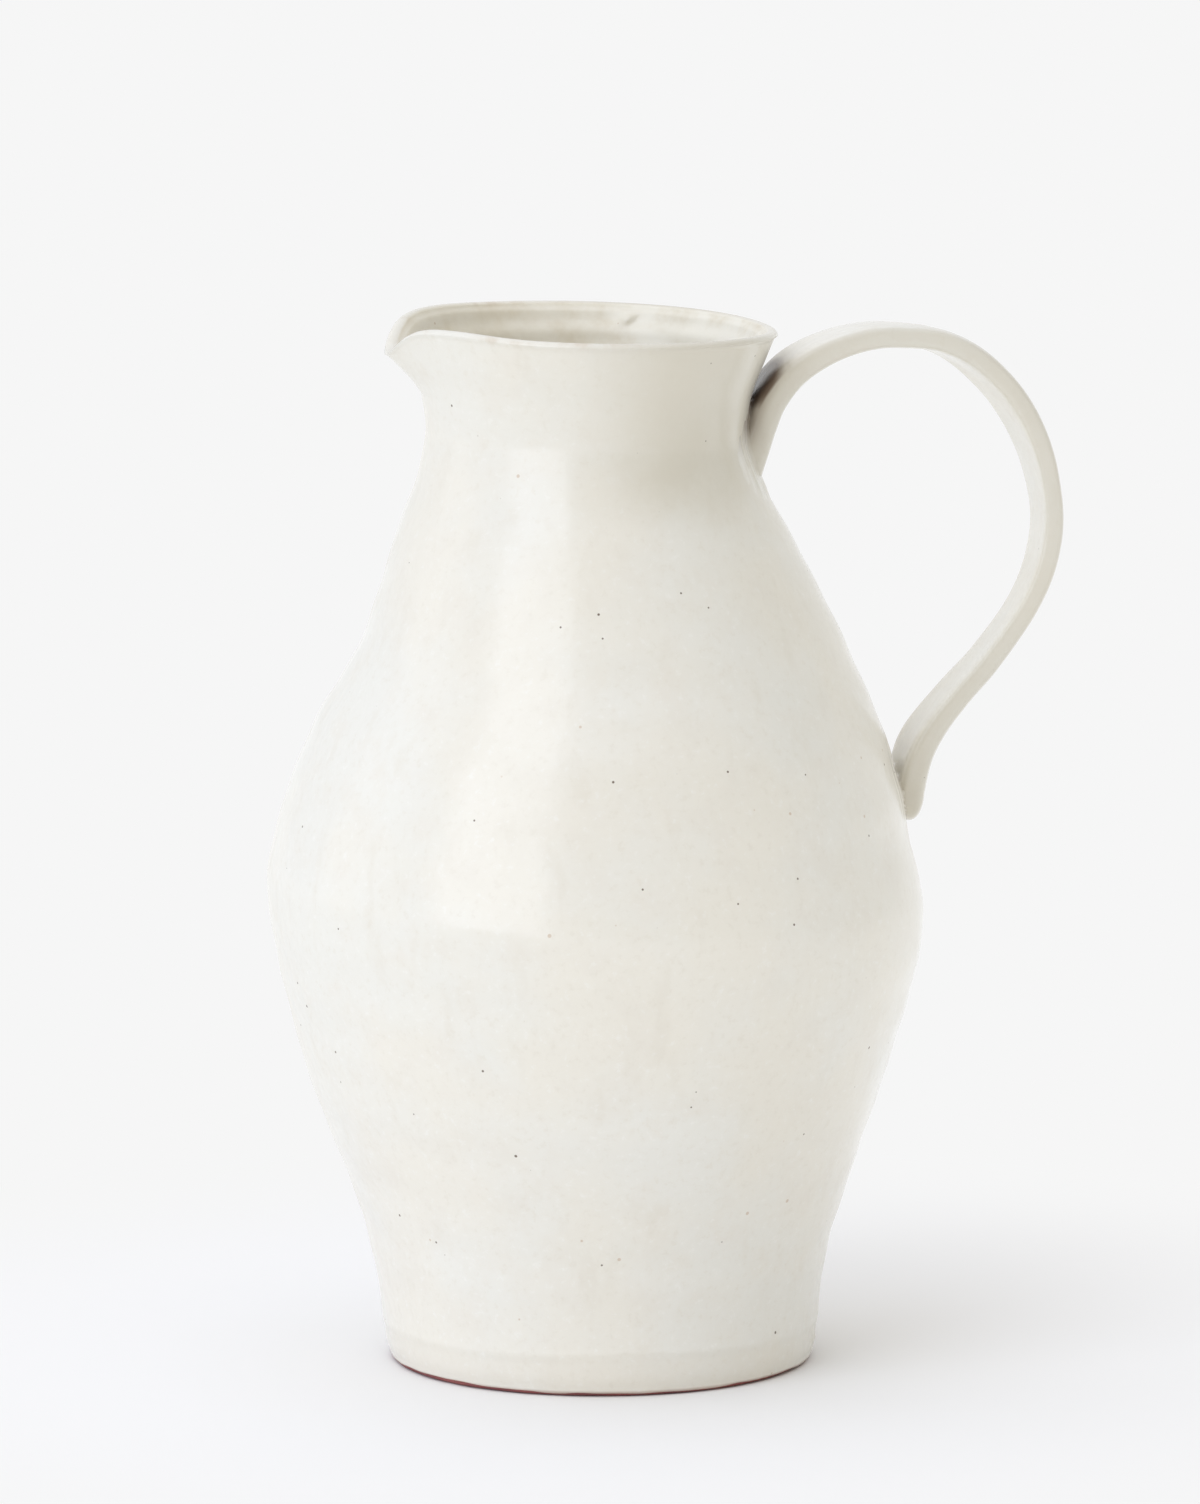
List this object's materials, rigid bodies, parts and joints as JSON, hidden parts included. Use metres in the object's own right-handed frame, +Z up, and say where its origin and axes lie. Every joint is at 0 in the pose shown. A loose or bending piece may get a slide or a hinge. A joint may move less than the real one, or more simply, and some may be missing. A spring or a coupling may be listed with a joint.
{
  "type": "ceramic pitcher",
  "caption": "Tall hand-thrown ceramic pitcher with a round belly, a flared neck with a pulled pouring lip, an arched strap handle and a flat bare clay foot.",
  "frame": {"origin": "middle of the flat face that the foot stands on", "axes": "+Z up, +X towards the handle, -X towards the pouring lip"},
  "size_m": [0.1985, 0.1634, 0.2616],
  "materials": {
    "glaze": "warm off-white glaze, glossy, faintly mottled, with sparse fine iron specks",
    "bare_clay": "unglazed dark red-brown fired clay, matt and slightly gritty"
  },
  "bodies": {
    "root": {"vessel": "glaze", "strap_handle": "glaze", "upper_luting": "glaze", "lower_luting": "glaze", "bare_foot": "bare_clay"}
  },
  "joints": []
}
